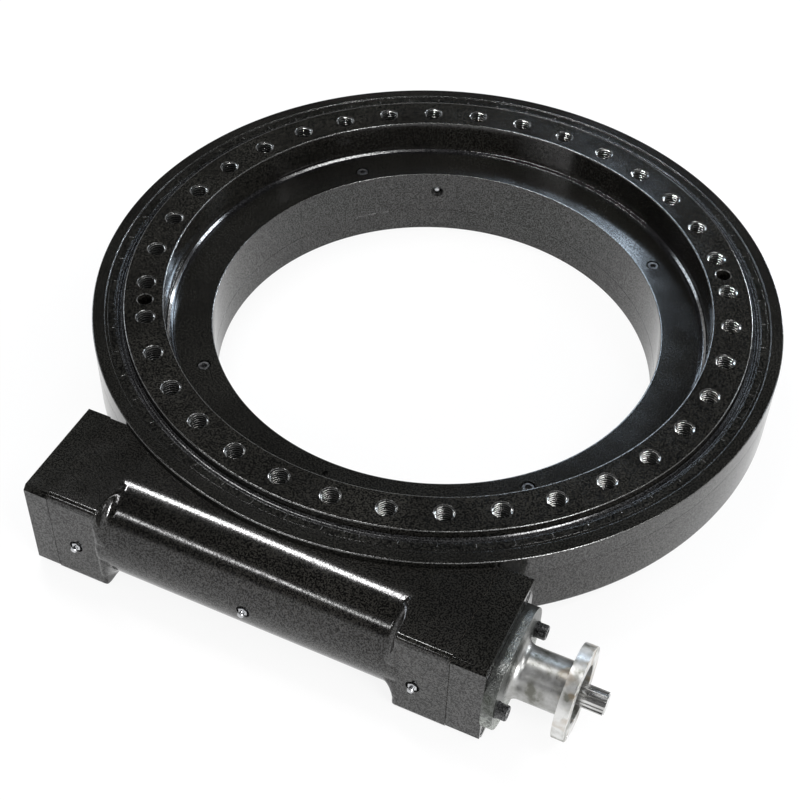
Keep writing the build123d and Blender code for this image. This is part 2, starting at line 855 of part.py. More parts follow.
save(end_cap(blind_seam, blind_cap_face, blind_bearing_out, blind_cap_face + cap_wall), "blind_end_cap")
with BuildPart() as cap_gaskets:
    for start in (blind_seam - gasket_thickness, drive_seam):
        with BuildSketch(across(start)):
            add(housing_section.sketch)
            offset(amount=-gasket_inset)
            Circle(bearing_outer_radius + 2 * gasket_inset, mode=Mode.SUBTRACT)
            with Locations(*cap_screw_places):
                Circle(cap_screw_radius + screw_clearance, mode=Mode.SUBTRACT)
        extrude(amount=gasket_thickness)
save(cap_gaskets.part, "cap_gaskets")
adapter_screw_places = [(-adapter_screw_offset, 0), (adapter_screw_offset, 0)]
with BuildPart() as drive_end_cap:
    add(end_cap(drive_seam, drive_cap_face, drive_bearing_out, drive_cavity_end))
    with BuildSketch(across(drive_cap_face)):
        Circle(shaft_seal_radius)
    extrude(amount=-shaft_seal_width - seal_inset, mode=Mode.SUBTRACT)
    with BuildSketch(across(drive_cavity_end - 1)):
        Circle(seal_journal_radius + shaft_clearance)
    extrude(amount=drive_cap_face - drive_cavity_end, mode=Mode.SUBTRACT)
    with BuildSketch(across(drive_cap_face)):
        with Locations(*adapter_screw_places):
            Circle(adapter_screw_radius + running_clearance)
    extrude(amount=plate_thickness + washer_thickness - adapter_screw_length - 1, mode=Mode.SUBTRACT)
save(drive_end_cap.part, "drive_end_cap")
save(
    turned_on_worm(
        [
            (drive_cap_face - seal_inset - shaft_seal_width, seal_journal_radius + running_clearance),
            (drive_cap_face - seal_inset, seal_journal_radius + running_clearance),
            (drive_cap_face - seal_inset, shaft_seal_radius),
            (drive_cap_face - seal_inset - shaft_seal_width, shaft_seal_radius),
        ]
    ),
    "shaft_seal",
)
with BuildPart() as cap_screws:
    for seat, outward in ((drive_cap_face - cap_screw_sink, 1), (blind_cap_face + cap_screw_sink, -1)):
        seat_plane = Plane(origin=(seat, worm_y, worm_z), x_dir=(0, 1, 0), z_dir=(outward, 0, 0))
        add(socket_screw(cap_screw_radius, cap_screw_length, seat_plane, cap_screw_places))
save(cap_screws.part, "cap_screws")

# Motor adapter
with BuildPart() as motor_adapter:
    with BuildSketch(across(drive_cap_face)):
        RectangleRounded(2 * plate_half_length, 2 * plate_half_height, plate_corner_radius)
    extrude(amount=plate_thickness)
    with BuildSketch(along()):
        with BuildLine():
            plate_face = drive_cap_face + plate_thickness
            Polyline((drive_cap_face, 0), (drive_cap_face, tube_radius + tube_fillet))
            Line((drive_cap_face, tube_radius + tube_fillet), (plate_face, tube_radius + tube_fillet))
            RadiusArc(
                (plate_face, tube_radius + tube_fillet),
                (plate_face + tube_fillet, tube_radius),
                -tube_fillet,
            )
            Polyline(
                (plate_face + tube_fillet, tube_radius),
                (flange_start, tube_radius),
                (flange_start, flange_radius),
                (flange_face, flange_radius),
                (flange_face, 0),
                (drive_cap_face, 0),
            )
        make_face()
    revolve(axis=worm_axis)
    with BuildSketch(across(drive_cap_face)):
        Circle(tube_bore_radius)
    extrude(amount=flange_face - drive_cap_face, mode=Mode.SUBTRACT)
    with BuildSketch(across(flange_face)):
        Circle(pilot_radius)
    extrude(amount=-pilot_depth, mode=Mode.SUBTRACT)
    with BuildSketch(across(flange_face)):
        with PolarLocations(adapter_bolt_circle_radius, 4, 45):
            Circle(adapter_bolt_radius)
    extrude(amount=-flange_thickness, mode=Mode.SUBTRACT)
    with BuildSketch(across(drive_cap_face)):
        with Locations(*adapter_screw_places):
            Circle(adapter_screw_radius + screw_clearance)
    extrude(amount=plate_thickness, mode=Mode.SUBTRACT)
save(motor_adapter.part, "motor_adapter")
adapter_seat = across(drive_cap_face + plate_thickness)
with BuildPart() as adapter_washers:
    with BuildSketch(adapter_seat):
        with Locations(*adapter_screw_places):
            Circle(washer_radius)
            Circle(adapter_screw_radius + screw_clearance, mode=Mode.SUBTRACT)
    extrude(amount=washer_thickness)
save(adapter_washers.part, "adapter_washers")
save(
    socket_screw(
        adapter_screw_radius,
        adapter_screw_length,
        adapter_seat.offset(washer_thickness),
        adapter_screw_places,
    ),
    "adapter_screws",
)


# Grease nipples
def nipple(plane):
    """Grease nipple that stands on a plane: a thread, a hexagon, a neck and a round head."""
    with BuildPart() as piece:
        with BuildSketch(plane):
            RegularPolygon(nipple_hex_radius, 6)
        extrude(amount=nipple_hex_height)
        with BuildSketch(plane):
            Circle(nipple_hex_radius / 2)
        extrude(amount=nipple_height - nipple_hex_radius / 2)
        with Locations(plane.offset(nipple_height - nipple_hex_radius / 2)):
            Cone(nipple_hex_radius * 0.6, nipple_hex_radius * 0.3, nipple_hex_radius)
    return piece.part


with BuildPart() as housing_nipples:
    for (x, z), face_y in nipple_places:
        add(nipple(Plane(origin=(x, face_y + nipple_recess_depth, z), x_dir=(1, 0, 0), z_dir=(0, -1, 0))))
save(housing_nipples.part, "housing_nipples")
save(nipple(bore_nipple_plane.offset(-bore_nipple_recess)), "bore_nipple")
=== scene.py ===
"""Slewing drive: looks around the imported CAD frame. Lengths are in metres, or in millimetres times MM."""
import json
import math

import bmesh
import bpy
from mathutils import Matrix, Vector

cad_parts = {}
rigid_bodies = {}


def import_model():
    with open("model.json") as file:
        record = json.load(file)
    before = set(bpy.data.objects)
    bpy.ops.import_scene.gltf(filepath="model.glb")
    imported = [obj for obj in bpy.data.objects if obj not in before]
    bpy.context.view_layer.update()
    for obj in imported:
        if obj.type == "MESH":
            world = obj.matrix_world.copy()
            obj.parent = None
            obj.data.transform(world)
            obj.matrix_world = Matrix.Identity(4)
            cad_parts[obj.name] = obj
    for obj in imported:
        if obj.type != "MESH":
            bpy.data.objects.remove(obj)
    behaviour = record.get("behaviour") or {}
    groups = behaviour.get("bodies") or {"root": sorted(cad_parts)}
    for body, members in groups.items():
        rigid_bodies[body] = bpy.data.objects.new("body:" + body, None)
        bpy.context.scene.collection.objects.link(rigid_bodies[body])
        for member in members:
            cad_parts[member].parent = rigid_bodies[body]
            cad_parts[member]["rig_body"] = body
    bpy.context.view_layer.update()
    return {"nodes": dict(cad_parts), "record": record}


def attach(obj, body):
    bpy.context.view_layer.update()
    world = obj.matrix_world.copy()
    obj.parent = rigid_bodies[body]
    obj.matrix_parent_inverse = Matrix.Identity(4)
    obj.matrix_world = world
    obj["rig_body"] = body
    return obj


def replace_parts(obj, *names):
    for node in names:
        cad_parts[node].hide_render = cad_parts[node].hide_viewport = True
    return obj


MM = 0.001

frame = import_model()
nodes = frame["nodes"]

# Values of part.py that the pieces below sit on: mm, degrees and counts
RING_TOP = 121.0
RING_INNER = 290.6
RING_OUTER = 332.5
BOLT_CIRCLE = 310.0
BOLT_START = 5.19
BOLT_COUNT = 36
DOWEL_TURN = 25.0
RIM_TOP = 116.2
RIM_RADIUS = 365.3
COVER_STEP = 114.7
COVER_BORE = 341.0
BORE_RADIUS = 241.8
SEAM = 28.6
BORE_NIPPLE_TURN = 113.9
BORE_NIPPLE_HEIGHT = 56.4
CASING_TOP = 110.5
CONE_FOOT = 333.0
CONE_HEIGHT = 37.3
WORM_Y = -366.2
WORM_Z = 55.25
BARREL_RADIUS = 55.25
BOX_FRONT = -53.5
BLIND_BOX = -161.0
DRIVE_BOX = 145.3
BLIND_SEAM = -214.5
DRIVE_SEAM = 199.5
CAP_SCREW_OFFSETS = (-44.0, 44.0)
ADAPTER_SCREW_OFFSETS = (-47.5, 47.5)
SPLINE_TEETH = 13

# Circles of screws and holes there: radius, count and first angle
INNER_SCREWS = (259.0, 4, 44.3)
BASE_SCREWS = (320.5, 6, 15)
BASE_BOLTS = (275.0, 12, 0)

# Height in mm at which a ring hole's mouth ends and its thread begins. The mouth's chamfer takes the lighter
# edge paint: partly wear, partly a painted highlight.
HOLE_EDGE = 120.4


def add_camera():
    """Camera solved from the photo: a bolt circle's ellipses and the worm's axis."""
    data = bpy.data.cameras.new("camera")
    data.sensor_width = 36.0
    data.lens = 68.48
    data.clip_start = 0.05
    data.clip_end = 60.0
    camera = bpy.data.objects.new("camera", data)
    bpy.context.scene.collection.objects.link(camera)
    azimuth, elevation, roll = 0.413974, 0.811225, 0.034533
    back = Vector(
        (
            math.sin(azimuth) * math.cos(elevation),
            -math.cos(azimuth) * math.cos(elevation),
            math.sin(elevation),
        )
    )
    across = Vector((0, 0, 1)).cross(back).normalized()
    up = back.cross(across)
    cam_x = math.cos(roll) * across + math.sin(roll) * up
    cam_y = -math.sin(roll) * across + math.cos(roll) * up
    turn = Matrix((cam_x, cam_y, back)).transposed().to_4x4()
    camera.matrix_world = Matrix.Translation((0.451061, -1.117953, 1.212808)) @ turn
    bpy.context.scene.camera = camera


add_camera()
bpy.context.scene.view_settings.view_transform = "Standard"


# Node helpers
def new_material(name):
    material = bpy.data.materials.new(name)
    material.use_nodes = True
    tree = material.node_tree
    tree.nodes.clear()
    out = tree.nodes.new("ShaderNodeOutputMaterial")
    shader = tree.nodes.new("ShaderNodeBsdfPrincipled")
    tree.links.new(shader.outputs[0], out.inputs["Surface"])
    return material, tree, shader


def texture_place(tree, scale=(1, 1, 1)):
    """Object coordinates, which are the row frame in metres, stretched by scale."""
    coords = tree.nodes.new("ShaderNodeTexCoord")
    mapping = tree.nodes.new("ShaderNodeMapping")
    mapping.inputs["Scale"].default_value = scale
    tree.links.new(coords.outputs["Object"], mapping.inputs["Vector"])
    return mapping.outputs[0]


def noise(tree, place, scale, detail=3.0, roughness=0.5):
    node = tree.nodes.new("ShaderNodeTexNoise")
    node.inputs["Scale"].default_value = scale
    node.inputs["Detail"].default_value = detail
    node.inputs["Roughness"].default_value = roughness
    tree.links.new(place, node.inputs["Vector"])
    return node.outputs["Fac"]


def ramp(tree, value, stops):
    node = tree.nodes.new("ShaderNodeValToRGB")
    elements = node.color_ramp.elements
    while len(elements) < len(stops):
        elements.new(0.5)
    for element, (position, colour) in zip(elements, stops):
        element.position = position
        element.color = (*colour, 1.0) if len(colour) == 3 else colour
    tree.links.new(value, node.inputs["Fac"])
    return node.outputs["Color"]


def spread(tree, value, low, high, start=0.3, end=0.7):
    node = tree.nodes.new("ShaderNodeMapRange")
    node.inputs["From Min"].default_value = start
    node.inputs["From Max"].default_value = end
    node.inputs["To Min"].default_value = low
    node.inputs["To Max"].default_value = high
    tree.links.new(value, node.inputs["Value"])
    return node.outputs["Result"]


def bump(tree, shader, value, strength, distance):
    node = tree.nodes.new("ShaderNodeBump")
    node.inputs["Strength"].default_value = strength
    node.inputs["Distance"].default_value = distance
    tree.links.new(value, node.inputs["Height"])
    tree.links.new(node.outputs[0], shader.inputs["Normal"])


def speckle(tree, place, low, high, scale=680.0):
    """Fine grain of two tones, as sprayed paint has in harsh light."""
    return ramp(tree, noise(tree, place, scale, 0.0), [(0.43, low), (0.57, high)])


def blend(tree, share, first, second, mode="MIX"):
    """Two colours mixed by a share, each a socket or a fixed colour."""
    node = tree.nodes.new("ShaderNodeMix")
    node.data_type = "RGBA"
    node.blend_type = mode
    sockets = [i for i in node.inputs if i.enabled]
    for socket, value in zip(sockets, (share, first, second)):
        if isinstance(value, bpy.types.NodeSocket):
            tree.links.new(value, socket)
        else:
            socket.default_value = value if isinstance(value, float) else (*value, 1.0)
    return [o for o in node.outputs if o.enabled][0]


def paint(name, base, rough, peel, ior=1.6, tint=1.35, grain=3.2):
    """Sprayed black paint: fine grain and orange peel, and gloss and tone that wander a little."""
    material, tree, shader = new_material(name)
    place = texture_place(tree)
    tone = noise(tree, place, 9.0, 5.0)
    light = tuple(c * tint for c in base)
    dark = tuple(c / tint for c in base)
    cloud = ramp(tree, tone, [(0.35, dark), (0.65, light)])
    grains = speckle(tree, place, (0.8 / grain,) * 3, (grain, grain * 0.99, grain * 0.95))
    tree.links.new(blend(tree, 1.0, cloud, grains, "MULTIPLY"), shader.inputs["Base Color"])
    fine = noise(tree, place, 690.0, 0.0)
    tree.links.new(spread(tree, fine, 0.26, 0.74, 0.42, 0.58), shader.inputs["Specular IOR Level"])
    gloss = noise(tree, place, 38.0, 4.0)
    tree.links.new(spread(tree, gloss, rough * 0.85, rough * 1.2), shader.inputs["Roughness"])
    shader.inputs["IOR"].default_value = ior
    bump(tree, shader, noise(tree, place, 900.0, 2.0), peel, 0.0002)
    return material


def metal(name, base, rough, stretch, depth=0.25):
    """Machined metal: tool marks as noise stretched along the cut, and mottled roughness."""
    material, tree, shader = new_material(name)
    shader.inputs["Metallic"].default_value = 1.0
    marks = noise(tree, texture_place(tree, stretch), 60.0, 4.0, 0.6)
    cloud = noise(tree, texture_place(tree), 55.0, 4.0)
    darker = tuple(c * 0.72 for c in base)
    tree.links.new(ramp(tree, cloud, [(0.38, darker), (0.6, base)]), shader.inputs["Base Color"])
    tree.links.new(spread(tree, marks, rough * 0.75, rough * 1.3), shader.inputs["Roughness"])
    bump(tree, shader, marks, depth, 0.0001)
    return material


def worm_distance(tree):
    """Distance of a point from the worm's axis, in metres."""
    coords = tree.nodes.new("ShaderNodeTexCoord")
    move = tree.nodes.new("ShaderNodeVectorMath")
    move.operation = "SUBTRACT"
    move.inputs[1].default_value = (0, WORM_Y * MM, WORM_Z * MM)
    tree.links.new(coords.outputs["Object"], move.inputs[0])
    across = tree.nodes.new("ShaderNodeVectorMath")
    across.operation = "MULTIPLY"
    across.inputs[1].default_value = (0, 1, 1)
    tree.links.new(move.outputs[0], across.inputs[0])
    length = tree.nodes.new("ShaderNodeVectorMath")
    length.operation = "LENGTH"
    tree.links.new(across.outputs[0], length.inputs[0])
    return length.outputs["Value"]


def along(tree, axis):
    """A point's place along an axis, in metres."""
    coords = tree.nodes.new("ShaderNodeTexCoord")
    split = tree.nodes.new("ShaderNodeSeparateXYZ")
    tree.links.new(coords.outputs["Object"], split.inputs[0])
    return split.outputs[axis]


def adapter_steel():
    """Turned steel under preservative: mottled tube, lighter rims, speckled plate darkened towards its top as
    painted shade, brown by the flange.
    """
    material, tree, shader = new_material("machined_steel")
    shader.inputs["Metallic"].default_value = 0.9
    place = texture_place(tree)
    tube = ramp(
        tree,
        noise(tree, place, 62.0, 5.0, 0.6),
        [(0.36, (0.16, 0.16, 0.14)), (0.48, (0.32, 0.32, 0.305)), (0.64, (0.44, 0.44, 0.435))],
    )
    rim = ramp(
        tree,
        noise(tree, place, 60.0, 4.0),
        [(0.38, (0.24, 0.24, 0.21)), (0.46, (0.55, 0.55, 0.53)), (0.6, (0.74, 0.74, 0.73))],
    )
    steel = blend(tree, spread(tree, worm_distance(tree), 0.0, 1.0, 0.0285, 0.0335), tube, rim)
    stain = noise(tree, texture_place(tree, (1.0, 1.3, 1.3)), 46.0, 2.0)
    brown = blend(
        tree,
        spread(tree, along(tree, "X"), 0.0, 1.0, 0.279, 0.288),
        (0.0, 0.0, 0.0),
        ramp(tree, stain, [(0.53, (0, 0, 0)), (0.64, (0.5, 0.5, 0.5))]),
    )
    steel = blend(tree, brown, steel, (0.34, 0.25, 0.15))
    grains = speckle(tree, place, (0.05, 0.06, 0.05), (0.50, 0.54, 0.49), 620.0)
    # Painted shade: the plate's speckle turns near-black towards its top
    grains = blend(tree, spread(tree, along(tree, "Z"), 0.0, 0.9, 0.03, 0.06), grains, (0.02, 0.024, 0.022))
    plate = spread(tree, along(tree, "X"), 1.0, 0.0, 0.2455, 0.2475)
    steel = blend(tree, plate, steel, blend(tree, 0.85, steel, grains))
    tree.links.new(steel, shader.inputs["Base Color"])
    marks = noise(tree, texture_place(tree, (14, 1, 1)), 60.0, 4.0, 0.6)
    tree.links.new(spread(tree, marks, 0.27, 0.42), shader.inputs["Roughness"])
    height = blend(tree, plate, spread(tree, marks, 0.0, 0.04), noise(tree, place, 640.0, 0.0))
    bump(tree, shader, height, 0.8, 0.0005)
    return material


BODY_BLACK = (0.0046, 0.0045, 0.0041)
WHEEL_BLACK = (0.0052, 0.0050, 0.0045)
CAST_BLACK = (0.0048, 0.0046, 0.0042)
PAINTS = {
    "black_paint": paint("black_paint", BODY_BLACK, 0.115, 0.025),
    "wheel_paint": paint("wheel_paint", WHEEL_BLACK, 0.115, 0.025),
    "black_oxide": paint("black_oxide", (0.014, 0.014, 0.015), 0.30, 0.08, 1.7),
    "seal_rubber": paint("seal_rubber", (0.007, 0.007, 0.0076), 0.2, 0.04, 1.5),
    "oiled_rubber": paint("oiled_rubber", (0.006, 0.006, 0.0066), 0.1, 0.03, 2.0),
    "gasket": paint("gasket", (0.05, 0.042, 0.036), 0.6, 0.1, 1.45),
    "spacer_plastic": paint("spacer_plastic", (0.62, 0.58, 0.45), 0.45, 0.03, 1.45, 1.05, 1.1),
    "machined_steel": adapter_steel(),
    "shaft_steel": metal("shaft_steel", (0.76, 0.76, 0.75), 0.2, (0.5, 8, 8), 0.05),
    "bearing_steel": metal("bearing_steel", (0.68, 0.68, 0.69), 0.18, (20, 20, 60)),
    "cast_paint": paint("cast_paint", CAST_BLACK, 0.125, 0.035, 1.55, 1.3),
    # Lighter edge paint: partly worn paint on rubbed edges, partly a painted highlight along them
    "worn_edge": paint("worn_edge", (0.034, 0.034, 0.033), 0.22, 0.05, 2.1, 1.2, 1.6),
    # Near-black painted shade for the grooves of threads and the walls of bolt holes
    "thread_root": paint("thread_root", (0.004, 0.004, 0.004), 0.5, 0.05, 1.25),
    "thread_steel": metal("thread_steel", (0.72, 0.72, 0.70), 0.24, (1, 1, 1), 0.02),
    "zinc": metal("zinc", (0.62, 0.63, 0.65), 0.28, (30, 30, 30)),
}
NODE_SLOT = {s["node"]: s["material_slot"] for s in frame["record"]["subparts"]}


for node, slot in NODE_SLOT.items():
    nodes[node].data.materials.clear()
    nodes[node].data.materials.append(PAINTS[slot])


def weigh_normals(piece, weight):
    """Normals that follow the larger faces, so that flats look flat up to their rounded edges."""
    weights = piece.modifiers.new("weights", "WEIGHTED_NORMAL")
    weights.keep_sharp = True
    weights.weight = weight
    graph = bpy.context.evaluated_depsgraph_get()
    graph.update()
    baked = bpy.data.meshes.new_from_object(piece.evaluated_get(graph))
    piece.modifiers.clear()
    piece.data = baked


def mesh_piece(name, vertices, faces, body, slot, paint_name=None, angle=32.0):
    """A smooth piece from vertices in mm that rides on a body and takes a slot's finish."""
    mesh = bpy.data.meshes.new(name)
    mesh.from_pydata([Vector(v) * MM for v in vertices], [], faces)
    mesh.update()
    return finish_piece(name, mesh, body, slot, paint_name, angle)


def finish_piece(name, mesh, body, slot, paint_name=None, angle=32.0, weight=90):
    """A mesh as a piece of the scene: smooth up to an angle, painted, and on its body."""
    bm = bmesh.new()
    bm.from_mesh(mesh)
    bmesh.ops.remove_doubles(bm, verts=bm.verts, dist=1e-6)
    bmesh.ops.recalc_face_normals(bm, faces=bm.faces)
    limit = math.radians(angle)
    for face in bm.faces:
        face.smooth = True
    for edge in bm.edges:
        edge.smooth = len(edge.link_faces) == 2 and edge.calc_face_angle(0.0) < limit
    bm.to_mesh(mesh)
    bm.free()
    piece = bpy.data.objects.new(name, mesh)
    bpy.context.scene.collection.objects.link(piece)
    weigh_normals(piece, weight)
    piece.data.name = name
    piece.data.materials.clear()
    piece.data.materials.append(PAINTS[paint_name or slot])
    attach(piece, body)
    return piece


def paint_edge_wear_and_highlight(piece, gets_wear_and_highlight):
    """Gives the faces that the test (centre in mm, normal) picks the lighter edge paint: partly worn paint on
    rubbed edges, partly a painted highlight.
    """
    piece.data.materials.append(PAINTS["worn_edge"])
    for face in piece.data.polygons:
        if gets_wear_and_highlight(face.center / MM, face.normal):
            face.material_index = 1


def turned_edge(centre, normal):
    """Whether a face of a turned piece is part of a rounded edge."""
    return 0.3 < abs(normal.z) < 0.97


def rounded(corners, steps=4, hold=0.5):
    """Corners (a, b, radius) of a closed profile turned into arcs, with a point just past each arc's ends."""
    points = []
    count = len(corners)
    for i, (a, b, radius) in enumerate(corners):
        here = Vector((a, b))
        before = Vector(corners[i - 1][:2]) - here
        after = Vector(corners[(i + 1) % count][:2]) - here
        if radius <= 0:
            points.append((a, b))
            continue
        half = before.angle(after) / 2
        reach = min(radius / math.tan(half), before.length * 0.49, after.length * 0.49)
        size = reach * math.tan(half)
        middle = here + (before.normalized() + after.normalized()).normalized() * size / math.sin(half)
        first = here + before.normalized() * reach - middle
        last = here + after.normalized() * reach - middle
        sweep = first.angle_signed(last)
        if reach + hold < before.length * 0.49:
            points.append(tuple(here + before.normalized() * (reach + hold)))
        for k in range(steps + 1):
            arm = first.copy()
            arm.rotate(Matrix.Rotation(-sweep * k / steps, 2))
            points.append(tuple(middle + arm))
        if reach + hold < after.length * 0.49:
            points.append(tuple(here + after.normalized() * (reach + hold)))
    return points


def on_ring(radius, height, angle):
    return (radius * math.cos(angle), radius * math.sin(angle), height)


def on_worm(radius, x, angle):
    return (x, WORM_Y + radius * math.cos(angle), WORM_Z + radius * math.sin(angle))


def lathe(profile, segments=360, place=on_ring, skip=()):
    """Vertices and faces of a profile turned about an axis. skip leaves out some of its sides."""
    count = len(profile)
    vertices = [place(r, h, 2 * math.pi * k / segments) for k in range(segments) for r, h in profile]
    faces = []
    for k in range(segments):
        here, there = k * count, (k + 1) % segments * count
        for i in range(count):
            if i not in skip:
                j = (i + 1) % count
                faces.append((here + i, there + i, there + j, here + j))
    return vertices, faces


def join(*parts):
    """Several (vertices, faces) as one."""
    vertices, faces = [], []
    for more, sides in parts:
        shift = len(vertices)
        vertices += more
        faces += [tuple(i + shift for i in side) for side in sides]
    return vertices, faces


def filled(loops):
    """Triangles between closed loops of points in one plane: the first is the outline, the rest are holes."""
    bm = bmesh.new()
    for loop in loops:
        corners = [bm.verts.new(p) for p in loop]
        for k, corner in enumerate(corners):
            bm.edges.new((corner, corners[(k + 1) % len(corners)]))
    bmesh.ops.triangle_fill(bm, use_beauty=True, edges=bm.edges[:])
    bm.verts.index_update()
    result = [tuple(v.co) for v in bm.verts], [tuple(v.index for v in f.verts) for f in bm.faces]
    bm.free()
    return result


def disc(a, b, radius, count=48):
    steps = [2 * math.pi * k / count for k in range(count)]
    return [(a + radius * math.cos(t), b + radius * math.sin(t)) for t in steps]


def circle(x, y, z, radius, count=48):
    return [(a, b, z) for a, b in disc(x, y, radius, count)]


def well(x, y, levels, count=48):
    """Wall of a round hole in a flat face: (radius, height) down its wall, closed by a flat floor."""
    rings = [circle(x, y, z, radius, count) for radius, z in levels]
    vertices = [p for ring in rings for p in ring]
    faces = []
    for level in range(len(rings) - 1):
        for k in range(count):
            a, b = level * count + k, level * count + (k + 1) % count
            faces.append((a, b, b + count, a + count))
    faces.append(tuple(range((len(rings) - 1) * count, len(rings) * count)))
    return vertices, faces


def flat_with_holes(z, inner, outer, holes, segments=360):
    """Flat ring face with round wells: each hole is (x, y, levels), its first level lies in the face."""
    edge = [on_ring(outer, z, 2 * math.pi * k / segments) for k in range(segments)]
    bore = [on_ring(inner, z, 2 * math.pi * k / segments) for k in range(segments)]
    mouths = [circle(x, y, z, levels[0][0]) for x, y, levels in holes]
    return join(filled([edge, bore] + mouths), *[well(x, y, levels) for x, y, levels in holes])


def polar(radius, count, start):
    """Points (x, y) spaced evenly on a circle from a start in degrees."""
    step = 360 / count
    angles = [math.radians(start + step * i) for i in range(count)]
    return [(radius * math.cos(a), radius * math.sin(a)) for a in angles]


# Rings
def add_rings():
    """The fixed rings round the race: cover, seals and seal band."""
    cover = rounded(
        [
            (357.15, 92.0, 0),
            (RIM_RADIUS, 92.0, 0.5),
            (RIM_RADIUS, RIM_TOP, 1.2),
            (352.2, RIM_TOP, 0.5),
            (352.2, COVER_STEP, 0.3),
            (COVER_BORE, COVER_STEP, 0.4),
            (COVER_BORE, 98.0, 0),
            (357.15, 98.0, 0),
        ]
    )
    piece = mesh_piece("cover_ring_body", *lathe(cover), "housing", "black_paint")
    # Rounded edges take the lighter edge paint: partly wear, partly a painted highlight
    paint_edge_wear_and_highlight(piece, turned_edge)
    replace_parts(piece, "cover_ring")
    seal = rounded(
        [
            (332.6, 104.0, 0),
            (COVER_BORE, 104.0, 0),
            (COVER_BORE, 113.9, 0.5),
            (338.6, 113.9, 0.8),
            (337.0, 111.4, 0.8),
            (335.2, 111.6, 0.6),
            (333.6, 113.6, 0.3),
            (332.65, 112.4, 0.2),
        ],
        3,
    )
    piece = mesh_piece("outer_seal_body", *lathe(seal), "housing", "seal_rubber")
    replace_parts(piece, "outer_seal")
    band = [(342.2, COVER_STEP, 0), (349.2, COVER_STEP, 0), (349.2, 115.3, 0.25), (342.2, 115.3, 0.25)]
    piece = mesh_piece("seal_band_body", *lathe(rounded(band, 3)), "housing", "black_paint")
    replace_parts(piece, "seal_band")
    seal = [
        (282.7, 77.0),
        (285.4, 77.0),
        (290.3, 79.6),
        (290.3, 83.3),
        (290.0, 83.6),
        (289.6, 83.4),
        (287.6, 81.4),
        (287.2, 81.2),
        (284.6, 81.2),
        (284.0, 81.5),
        (283.5, 82.1),
        (282.7, 82.1),
    ]
    piece = mesh_piece("inner_seal_body", *lathe(seal), "housing", "seal_rubber", "oiled_rubber")
    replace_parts(piece, "inner_seal")


def add_stakes():
    """Sixty small marks that stake the seal band, each a low ridge across it."""
    parts = []
    for k in range(60):
        angle = math.radians(6 * k)
        length, half, height = 4.2 + 1.6 * math.sin(7.3 * k), 0.34, 0.22
        section = [(-half, 0), (-half * 0.45, height), (half * 0.45, height), (half, 0)]
        vertices = []
        for radius, share in ((342.5, 0.2), (343.0, 1), (342.5 + length - 0.5, 1), (342.5 + length, 0.2)):
            for across, up in section:
                x, y = radius, across * share
                vertices.append(
                    (
                        x * math.cos(angle) - y * math.sin(angle),
                        x * math.sin(angle) + y * math.cos(angle),
                        115.28 + up * share,
                    )
                )
        faces = []
        for row in range(3):
            for i in range(3):
                a = row * 4 + i
                faces.append((a, a + 1, a + 5, a + 4))
        faces += [(0, 1, 2, 3), (15, 14, 13, 12)]
        parts.append((vertices, faces))
    # The stakes take the lighter edge paint: partly rubbed metal, partly a painted highlight
    mesh_piece("seal_stakes", *join(*parts), "housing", "black_paint", "worn_edge", 60.0)


def add_rotating_ring():
    """Rotating ring, its top with 36 threaded and 2 smooth holes. Its hidden teeth are a plain wall here."""
    threaded = [(10.9, RING_TOP), (10.5, RING_TOP), (9.9, 120.5), (9.9, 119.9), (9.9, 81.0)]
    smooth = [(9.2, RING_TOP), (8.9, RING_TOP), (8.0, HOLE_EDGE), (8.0, 119.9), (8.0, 91.0)]
    holes = [(x, y, threaded) for x, y in polar(BOLT_CIRCLE, BOLT_COUNT, BOLT_START)]
    holes += [(x, y, smooth) for x, y in polar(BOLT_CIRCLE, 2, BOLT_START + DOWEL_TURN)]
    corners = [
        (RING_OUTER, 80.0, 0),
        (RING_OUTER, RING_TOP, 1.3),
        (RING_INNER, RING_TOP, 1.2),
        (RING_INNER, 77.0, 0),
    ]
    profile = rounded(corners)[1:-1]
    top = max(range(len(profile) - 1), key=lambda i: abs(profile[i][0] - profile[i + 1][0]))
    rim = [(RING_OUTER, 80.0)] + profile + [
        (RING_INNER, 77.0),
        (287.6, 77.0),
        (287.6, 74.9),
        (307.1, 55.5),
        (287.6, 36.1),
        (287.6, 31.0),
        (331.0, 31.0),
        (331.0, 80.0),
    ]
    inner_edge, outer_edge = sorted((profile[top][0], profile[top + 1][0]))
    body = join(lathe(rim, skip=(top + 1,)), flat_with_holes(RING_TOP, inner_edge, outer_edge, holes))
    piece = mesh_piece("rotating_ring_body", *body, "ring", "wheel_paint")
    # Rounded top edges and hole mouths take the lighter edge paint: partly wear, partly a painted highlight
    paint_edge_wear_and_highlight(piece, lambda centre, normal: centre.z > 100 and turned_edge(centre, normal))
    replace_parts(piece, "rotating_ring")


def helix(x, y, profile, pitch=3.2, turns=11, steps=40):
    """A profile of (radius, drop) wound down a ring hole from its mouth."""
    rows = len(profile)
    vertices, faces = [], []
    for k in range(turns * steps + 1):
        angle = 2 * math.pi * k / steps
        for radius, drop in profile:
            z = HOLE_EDGE + pitch - drop - pitch * k / steps
            if z > HOLE_EDGE:
                radius, z = 9.88, HOLE_EDGE
            vertices.append((x + radius * math.cos(angle), y + radius * math.sin(angle), z))
    for k in range(turns * steps):
        for i in range(rows - 1):
            a = k * rows + i
            faces.append((a, a + 1, a + rows + 1, a + rows))
    return vertices, faces


